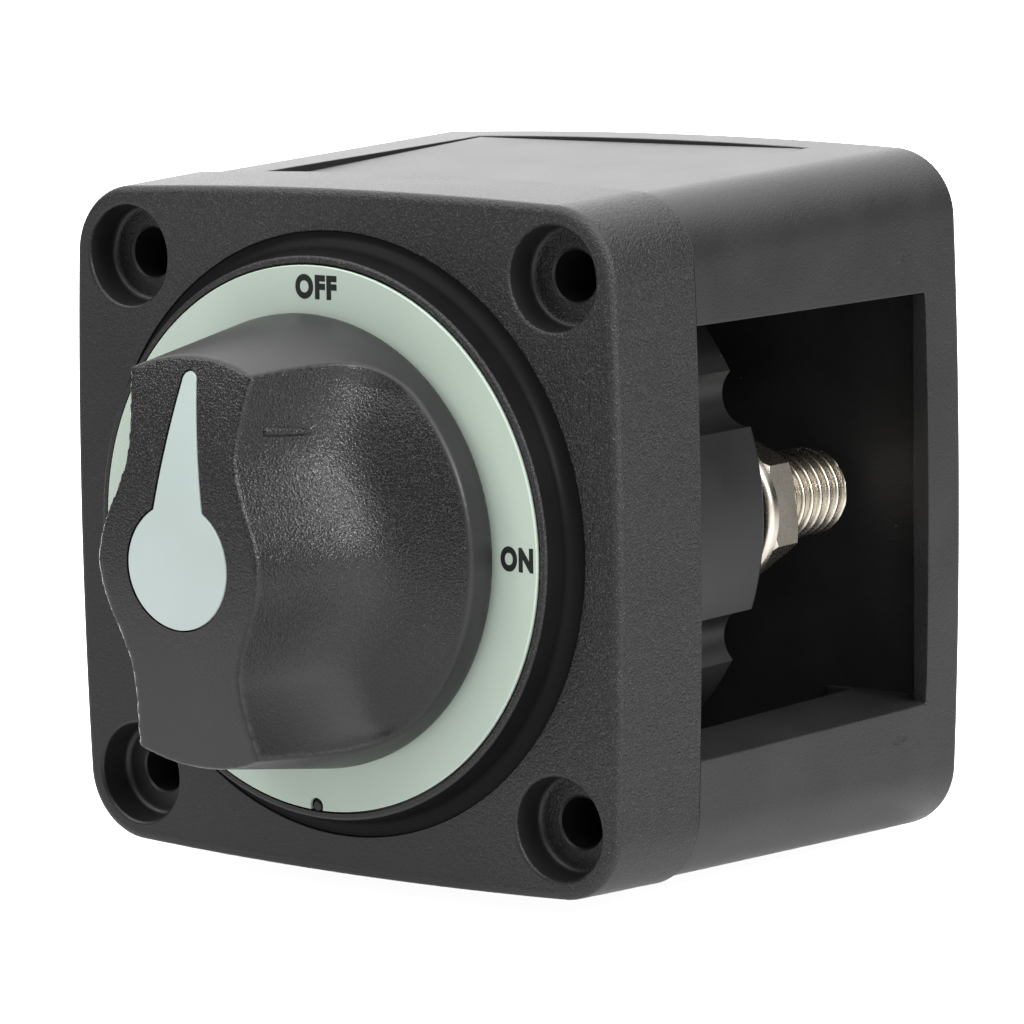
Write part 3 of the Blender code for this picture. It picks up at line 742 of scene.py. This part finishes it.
def knob():
    """The knob's body. The remesh and the smoothing give its creases the small radius of a moulding."""
    profile = [(KNOB_FRONT_R, -KNOB_HEIGHT - MM), (KNOB_BASE_R, -KNOB_BASE - 1.1 * MM)]
    profile += arc(KNOB_BASE_R - 0.6 * MM, -KNOB_BASE - 0.6 * MM, 0.6 * MM, 0, 90, 4)
    shape = raw_object("knob_grip", turned(profile, count=160))
    combine(shape, "INTERSECT", [crowned_slab()])
    cut(shape, [scoop(-1)])
    cut(shape, [scoop(1)])
    hollow = [(9 * MM, -3 * MM), (20 * MM, -3 * MM), (19.6 * MM, -5.4 * MM), (9 * MM, -5.4 * MM)]
    cut(shape, [tube(hollow)])
    remesh = shape.modifiers.new("moulded_radii", "REMESH")
    remesh.mode = "VOXEL"
    remesh.voxel_size = 0.3 * MM
    smooth = shape.modifiers.new("soft_creases", "SMOOTH")
    smooth.factor = 0.5
    smooth.iterations = 3
    bake_modifiers(shape)
    join(shape, [flank_bar()])
    screw_hole = rod(2.3 * MM, -21 * MM, -14 * MM)
    screw_head_recess = rod(4.0 * MM, -26 * MM, -19.7 * MM)
    cut(shape, [spindle_socket(), screw_hole])
    cut(shape, [pointer_recess()])
    cut(shape, [screw_head_recess])
    piece(shape, KNOB, "black_textured", "rotor", "knob", angle=50)
    shape.data.materials.append(SKIRT)
    for face in shape.data.polygons:
        face.material_index = int(on_skirt(face.center))


def flank_bar():
    """A low moulded bar near the front of the right flank, half sunk into it."""
    sides = 16
    sunk = Vector((-0.95, 0.3, 0.0)) * 0.18 * MM
    first = Vector((7.39 * MM, at(-20.2 * MM), 13.05 * MM)) + sunk
    last = Vector((9.27 * MM, at(-14.4 * MM), 12.55 * MM)) + sunk
    turn = (last - first).to_track_quat("Z", "Y")
    rings = []
    for share, radius in ((0.0, 0.2), (0.03, 0.45), (0.08, 0.52), (0.75, 0.4), (1.0, 0.12)):
        flat = [Vector((math.cos(FULL * i / sides), math.sin(FULL * i / sides), 0.0)) for i in range(sides)]
        rings.append([first.lerp(last, share) + turn @ point * radius * MM for point in flat])
    return loft(rings)


def on_skirt(centre):
    """Whether a face of the knob lies on its conical side, which has no grain."""
    height = at(0) - centre.y
    share = (height - KNOB_BASE) / (KNOB_HEIGHT - KNOB_BASE)
    cone = KNOB_BASE_R + (KNOB_FRONT_R - KNOB_BASE_R) * share
    return math.hypot(centre.x, centre.z) > cone - 0.12 * MM


def spindle_socket():
    """The round socket with one flat that takes the spindle."""
    radius, flat = 5.1 * MM, 3.9 * MM
    bottom, mouth = -14.8 * MM, -3.0 * MM
    start = math.acos(flat / radius)
    angles = [start + (FULL - 2 * start) * i / 48 for i in range(49)]
    ends = []
    for depth in (bottom, mouth):
        ends.append([Vector((radius * math.sin(a), at(depth), -radius * math.cos(a))) for a in angles])
    return loft(ends)


def pointer_rows(grow):
    """(z, half-width) of the pointer from the foot of its disc to its round tip."""
    radius = POINTER_DISC_R + grow
    root = POINTER_ROOT_HALF + grow
    tip = POINTER_TIP_HALF + grow
    end = math.pi - math.asin(root / radius)
    disc, arm, nose = 48, 16, 8
    first, last = 0.05, 1.45  # radians from the foot of the disc and to the end of the tip
    angles = [first + (end - first) * i / disc for i in range(disc + 1)]
    rows = [(-radius * math.cos(a), radius * math.sin(a)) for a in angles]
    shoulder = POINTER_TIP - POINTER_TIP_HALF
    start = rows[-1][0]
    for i in range(1, arm + 1):
        rows.append((start + (shoulder - start) * i / arm, root + (tip - root) * i / arm))
    for i in range(1, nose + 1):
        angle = last * i / nose
        rows.append((shoulder + tip * math.sin(angle), tip * math.cos(angle)))
    return rows


def pointer_recess():
    """The pocket for the pointer's film, with a small gap round it. Depths are below the crowned front."""
    front, rear = -2 * MM, 0.8 * MM
    rings = []
    for z, half in pointer_rows(GAP / 2):
        outline = [(-half, front), (half, front), (half, rear), (-half, rear)]
        rings.append([Vector((x, at(depth - crown(z)), z)) for x, depth in outline])
    return loft(rings)


def pointer_label():
    """The pointer's film, slightly domed at its edges."""
    rounding, thick = 0.12 * MM, 0.5 * MM
    rings = []
    for z, half in pointer_rows(0.0):
        inner = max(half - rounding, 0.3 * half)
        outline = [(-half, rounding), (-inner, 0.0), (inner, 0.0), (half, rounding)]
        outline += [(half, thick), (-half, thick)]
        rings.append([Vector((x, at(depth - crown(z)), z)) for x, depth in outline])
    film = raw_object("pointer_film_piece", loft(rings))
    piece(film, POINTER, "pale_label", "rotor", "pointer_label", angle=25)


# Switch body and terminals.


def switch_body():
    edge = 0.8 * MM
    profile = [(BODY_R, BODY_FRONT)]
    profile += arc(BODY_R - edge, BODY_REAR - edge, edge, 0, 90)
    profile.append((21 * MM, BODY_REAR))
    body = raw_object("contact_base", turned(profile, count=192))
    flange_r, flange_end, behind = 3.4 * MM, 12.3 * MM, 36 * MM
    join(body, [rod(flange_r, BODY_FRONT, flange_end, x, z) for x, z in SCREW_CENTRES])
    join(body, [barrier()])
    cup_r, cup_end = 23 * MM, 24.6 * MM
    cut(body, [rod(cup_r, BODY_FRONT - MM, cup_end, count=128)])
    spans = ((-26.9 * MM, -20 * MM), (20 * MM, 26.9 * MM))
    seat_front, seat_half = 20.4 * MM, 6.2 * MM
    cut(body, [block((x0, seat_front, -seat_half), (x1, cup_end, seat_half)) for x0, x1 in spans])
    hole_r, flare = 1.8 * MM, 0.35 * MM
    pocket = [(hole_r, 8 * MM), (hole_r, flange_end), (SCALLOP_R, flange_end)]
    pocket += [(SCALLOP_R, BODY_REAR - 0.3 * MM), (SCALLOP_R + flare, BODY_REAR + 0.05 * MM)]
    pocket.append((SCALLOP_R + flare, behind))
    cut(body, [turned(pocket, x, z, 64) for x, z in SCREW_CENTRES])
    cut(body, [rod(STUD_R + GAP, 22 * MM, behind, x) for x in (-STUD_X, STUD_X)])
    soften(body, 0.2 * MM)
    piece(body, BODY, "black_smooth", "housing", "switch_body")


def barrier():
    """The wall between the two studs."""
    half, reach, rear = 1.6 * MM, 19 * MM, 46 * MM
    return block((-half, BODY_REAR - 2 * MM, -reach), (half, rear, reach))


def thread_radius(angle, depth, crest, start):
    """Radius of a unified thread at an angle and depth, with flat crests and round roots."""
    turn = (depth - start) / THREAD_PITCH - angle / FULL
    phase = abs(turn - math.floor(turn) - 0.5) * 2
    flank = min(1.0, max(0.0, (phase - 0.12) / 0.72))
    groove = (1 - math.cos(math.pi * flank)) / 2
    return crest - 0.58 * THREAD_PITCH * groove


def terminal_stud(word, side):
    """A threaded stud with a chamfered end, on a flat contact head inside the switch body."""
    x = side * STUD_X
    front, around, per_pitch = 24.1 * MM, 72, 16
    chamfer, chamfer_length = 1.15 * MM, 1.1 * MM
    rows = int((STUD_END - front) / THREAD_PITCH * per_pitch)
    rings = []
    for i in range(rows + 1):
        depth = front + (STUD_END - front) * i / rows
        from_end = STUD_END - depth
        limit = STUD_R - chamfer + chamfer * math.sqrt(min(1.0, from_end / chamfer_length))
        ring = []
        for k in range(around):
            angle = FULL * k / around
            radius = min(thread_radius(angle, depth, STUD_R, front), limit)
            ring.append(Vector((x + radius * math.cos(angle), at(depth), radius * math.sin(angle))))
        rings.append(ring)
    stud = raw_object(f"threaded_stud_{word}", loft(rings))
    near, far = sorted((side * 12.6 * MM, side * 26.3 * MM))
    head_front, head_rear, head_half = 21 * MM, 24.2 * MM, 5.6 * MM
    join(stud, [block((near, head_front, -head_half), (far, head_rear, head_half))])
    piece(stud, TIN, "tinned_brass", "housing", f"terminal_stud_{word}", angle=50)


def terminal_washer(word, side):
    """A stamped washer, with its rolled edge towards the switch body."""
    x = side * STUD_X
    front = BODY_REAR + GAP
    rear = front + WASHER_THICK
    edge = 0.7 * MM
    bore = STUD_R + GAP
    outline = [(bore, rear - 0.15 * MM), (bore, front + 0.1 * MM), (bore + 0.1 * MM, front)]
    outline += arc(WASHER_R - edge, front + edge, edge, -90, 0, 7)
    outline += [(WASHER_R, rear - 0.08 * MM), (WASHER_R - 0.08 * MM, rear), (bore + 0.15 * MM, rear)]
    washer = raw_object(f"flat_washer_{word}", tube(outline, x))
    piece(washer, TIN, "tinned_brass", "housing", f"terminal_washer_{word}")


def terminal_nut(word, side):
    """A hex nut with coned corners, small edge radii and a countersunk bore."""
    x = side * STUD_X
    front = BODY_REAR + WASHER_THICK + 1.5 * GAP
    rear = front + NUT_THICK
    across = NUT_FLATS / math.sqrt(3)
    nut = raw_object(f"hex_nut_{word}", rod(across, front, rear, x, 0.0, 6, NUT_TURN + math.pi / 6))
    slope = 0.8 * MM
    cone = [(across - 0.9 * MM, front - 0.1 * MM), (across + 0.4 * MM, front + slope)]
    cone += [(across + 0.4 * MM, rear - slope), (across - 0.9 * MM, rear + 0.1 * MM)]
    combine(nut, "INTERSECT", [turned(cone, x, 0.0, 144)])
    bore = STUD_R + 0.12 * MM
    mouth = [(bore + MM, front - 0.2 * MM), (bore, front + slope)]
    mouth += [(bore, rear - slope), (bore + MM, rear + 0.2 * MM)]
    cut(nut, [turned(mouth, x, 0.0, 72)])
    soften(nut, 0.12 * MM, 3, 25)
    piece(nut, TIN, "tinned_brass", "housing", f"terminal_nut_{word}")


# Rear cover and plates.


def rear_cover():
    front = PARTING + GAP
    edge = 1.3 * MM
    shrink = 0.3 * MM
    rings = [pillow(half_at(front) - shrink, front)]
    for i in range(10):
        turn = math.pi / 2 * i / 9
        inset = edge * (1 - math.cos(turn))
        depth = DEPTH - edge * (1 - math.sin(turn))
        rings.append(pillow(half_at(depth) - inset, depth, CORNER - inset))
    cover = raw_object("rear_cover_shell", loft(rings))
    wide, inside = 50 * MM, 50 * MM
    open_front = PARTING - MM
    cut(cover, [block((-wide, open_front, -WINDOW_HALF), (wide, WINDOW_REAR, WINDOW_HALF))])
    cut(cover, [block((-WINDOW_HALF, open_front, -wide), (WINDOW_HALF, WINDOW_REAR, wide))])
    reach = half_at(WINDOW_REAR) - 2.0 * MM
    back = DEPTH - BACK_WALL
    cut(cover, [block((-reach, inside, -WINDOW_HALF), (reach, back, WINDOW_HALF))])
    cut(cover, [block((-WINDOW_HALF, inside, -reach), (WINDOW_HALF, back, reach))])
    chamfered = corners(WINDOW_HALF, WINDOW_HALF)
    cut(cover, [rod(PILLAR_CHAMFER, open_front, back - 0.4 * MM, x, z, 4) for x, z in chamfered])
    cut(cover, [screw_passage(x, z) for x, z in HOLE_CENTRES])
    soften(cover, 0.22 * MM)
    cut(cover, [mould_mark(z) for z in (-24.5 * MM, 25.3 * MM)])
    piece(cover, COVER, "black_textured", "housing", "rear_cover")


def mould_mark(z):
    """A shallow oval mark left by the mould on the right side, near a rear corner of the window."""
    middle, long, high = 47.5 * MM, 1.5 * MM, 0.55 * MM
    angles = [FULL * i / 32 for i in range(32)]
    rings = []
    for lift, grow in ((-0.62 * MM, 0.75), (-0.5 * MM, 1.0), (0.4 * MM, 1.0)):
        ring = []
        for angle in angles:
            depth = middle + long * grow * math.cos(angle)
            ring.append(Vector((half_at(depth) + lift, at(depth), z + high * grow * math.sin(angle))))
        rings.append(ring)
    return loft(rings)


def screw_passage(x, z):
    """A passage through a pillar, with a countersunk mouth in the rear face."""
    radius, mouth = 2.8 * MM, 3.4 * MM
    profile = [(radius, PARTING - MM), (radius, DEPTH - 0.5 * MM)]
    profile += [(mouth, DEPTH + 0.1 * MM), (mouth, DEPTH + MM)]
    return turned(profile, x, z, 64)


def cable_plate(word, turn):
    """A plate that closes one side window, set deeper at the front than at the back."""
    front, rear = PARTING + 2 * GAP, WINDOW_REAR - GAP
    half = WINDOW_HALF - GAP
    high_front = half_at(PARTING) - PLATE_FRONT_DROP
    high_rear = half_at(WINDOW_REAR) - PLATE_REAR_DROP
    profile = [(front, high_front), (rear, high_rear), (rear, high_rear - PLATE_THICK)]
    profile.append((front, high_front - PLATE_THICK))
    points, faces = loft([[Vector((x, at(depth), z)) for depth, z in profile] for x in (-half, half)])
    spin = Matrix.Rotation(turn, 3, "Y")
    plate = raw_object(f"blanking_plate_{word}", ([spin @ point for point in points], faces))
    soften(plate, 0.3 * MM, 4)
    piece(plate, PLATE, "black_textured", f"{word}_plate", f"cable_plate_{word}")


# CAD nodes that stay, with their materials.


def finish_nodes():
    """Materials and smooth shading for the CAD pieces that are shown as they are."""
    kept = {
        "knob_screw": ZINC,
        "spindle": ZINC,
        "contact_spring": ZINC,
        "shaft_seal": RUBBER,
        "body_gasket": RUBBER,
        "contact_carrier": CARRIER,
        "moving_contact": COPPER,
    }
    for number in range(1, 5):
        kept[f"body_screw_{number}"] = ZINC
    for name, finish in kept.items():
        node = frame["nodes"][name]
        node.data.materials.clear()
        node.data.materials.append(finish)
        node.data.shade_smooth()
        node.data.set_sharp_from_angle(angle=math.radians(35))


# Surroundings.


def floor():
    """A pale floor just under the object, which fades into the white surroundings close to it."""
    level = cad_box[0].z - 0.2 * MM
    radius, sides, fade = 0.4, 96, 9 * MM
    mesh = bpy.data.meshes.new("floor")
    rim = [Vector((point.x, point.z, level)) for point in circle(radius, 0.0, count=sides)]
    mesh.from_pydata(rim, [], [list(range(sides))])
    obj = bpy.data.objects.new("floor", mesh)
    bpy.context.scene.collection.objects.link(obj)
    nodes = new_material("floor_paint")
    paint = nodes.blend(nodes.noise(2 * MM, 3.0), (0.86, 0.86, 0.86, 1.0), (0.9, 0.9, 0.9, 1.0))
    half = half_at(DEPTH)
    beyond = nodes.outside((0.0, at(DEPTH / 2), level), (half, DEPTH / 2, 1.0))
    opacity = nodes.spread(beyond, 0.75, 0.0, 0.0, fade, "SMOOTHSTEP")
    obj.data.materials.append(nodes.set(Base_Color=paint, Roughness=0.7, Alpha=opacity))


def area_light(name, place, target, size, power):
    """A square white lamp that faces a target."""
    lamp = bpy.data.lights.new(name, "AREA")
    lamp.shape = "SQUARE"
    lamp.size = size
    lamp.energy = power
    obj = bpy.data.objects.new(name, lamp)
    obj.location = Vector(place)
    obj.rotation_euler = (Vector(target) - Vector(place)).to_track_quat("-Z", "Y").to_euler()
    bpy.context.scene.collection.objects.link(obj)


def world():
    """A studio with a bright table, ceiling and back wall, in which the camera sees plain white."""
    nodes = Nodes(bpy.data.worlds.new("studio"), "Background", "Generated")
    up = nodes.along((0.0, 0.0, 1.0))
    parts = [
        nodes.spread(up, 1.07, 0.0, -0.35, 0.15, "SMOOTHSTEP"),
        nodes.spread(up, 0.0, 2.6, 0.3, 0.95, "SMOOTHSTEP"),
        nodes.spread(nodes.along((-0.6, 0.8, 0.0)), 0.0, 3.0, 0.7, 1.0, "SMOOTHSTEP"),
        nodes.spread(nodes.along((0.98, -0.2, 0.0)), 0.0, 0.75, 0.6, 0.95, "SMOOTHSTEP"),
        nodes.spread(nodes.along((-0.6, -0.8, -0.1)), 0.0, 0.25, 0.6, 0.95, "SMOOTHSTEP"),
    ]
    light = 0.0
    for part in parts:
        light = nodes.math("ADD", part, light)
    seen = nodes.add("ShaderNodeLightPath").outputs["Is Camera Ray"]
    strength = nodes.math("MAXIMUM", light, nodes.math("MULTIPLY", seen, 3.0))
    bpy.context.scene.world = nodes.set(Color=(1.0, 1.0, 1.0, 1.0), Strength=strength)


def camera():
    """A long lens from the front right, a little above."""
    azimuth, elevation, roll = math.radians(36.93), math.radians(8.03), math.radians(-0.788)
    distance = 518.9 * MM
    target = Vector((6.64, -38.8, 0.43)) * MM
    outward = Vector((math.sin(azimuth), -math.cos(azimuth), 0.0))
    back = outward * math.cos(elevation) + Vector((0.0, 0.0, math.sin(elevation)))
    level = Vector((math.cos(azimuth), math.sin(azimuth), 0.0))
    upright = back.cross(level)
    right = level * math.cos(roll) + upright * math.sin(roll)
    up = back.cross(right)
    lens = bpy.data.cameras.new("camera")
    lens.lens = 179.58
    lens.sensor_width = 36.0
    lens.clip_start, lens.clip_end = 0.01, 20.0
    obj = bpy.data.objects.new("camera", lens)
    axes = Matrix((right, up, back)).transposed().to_4x4()
    obj.matrix_world = Matrix.Translation(target + back * distance) @ axes
    bpy.context.scene.collection.objects.link(obj)
    bpy.context.scene.camera = obj


def studio():
    scene = bpy.context.scene
    scene.view_settings.view_transform = "Standard"
    world()
    floor()
    camera()
    aim = (0.0, -0.07, 0.0)
    area_light("right_softbox", (0.46, -0.11, 0.22), aim, 0.07, 1.0)
    area_light("high_softbox", (0.50, -0.25, 0.45), aim, 0.2, 0.45)
    area_light("left_softbox", (-0.35, -0.45, 0.40), aim, 0.2, 0.7)


def main():
    front_housing()
    dial_label()
    knob()
    pointer_label()
    switch_body()
    for side, word in ((-1, "left"), (1, "right")):
        terminal_stud(word, side)
        terminal_washer(word, side)
        terminal_nut(word, side)
    rear_cover()
    cable_plate("top", 0.0)
    cable_plate("left", -math.pi / 2)
    cable_plate("bottom", math.pi)
    finish_nodes()
    studio()


main()
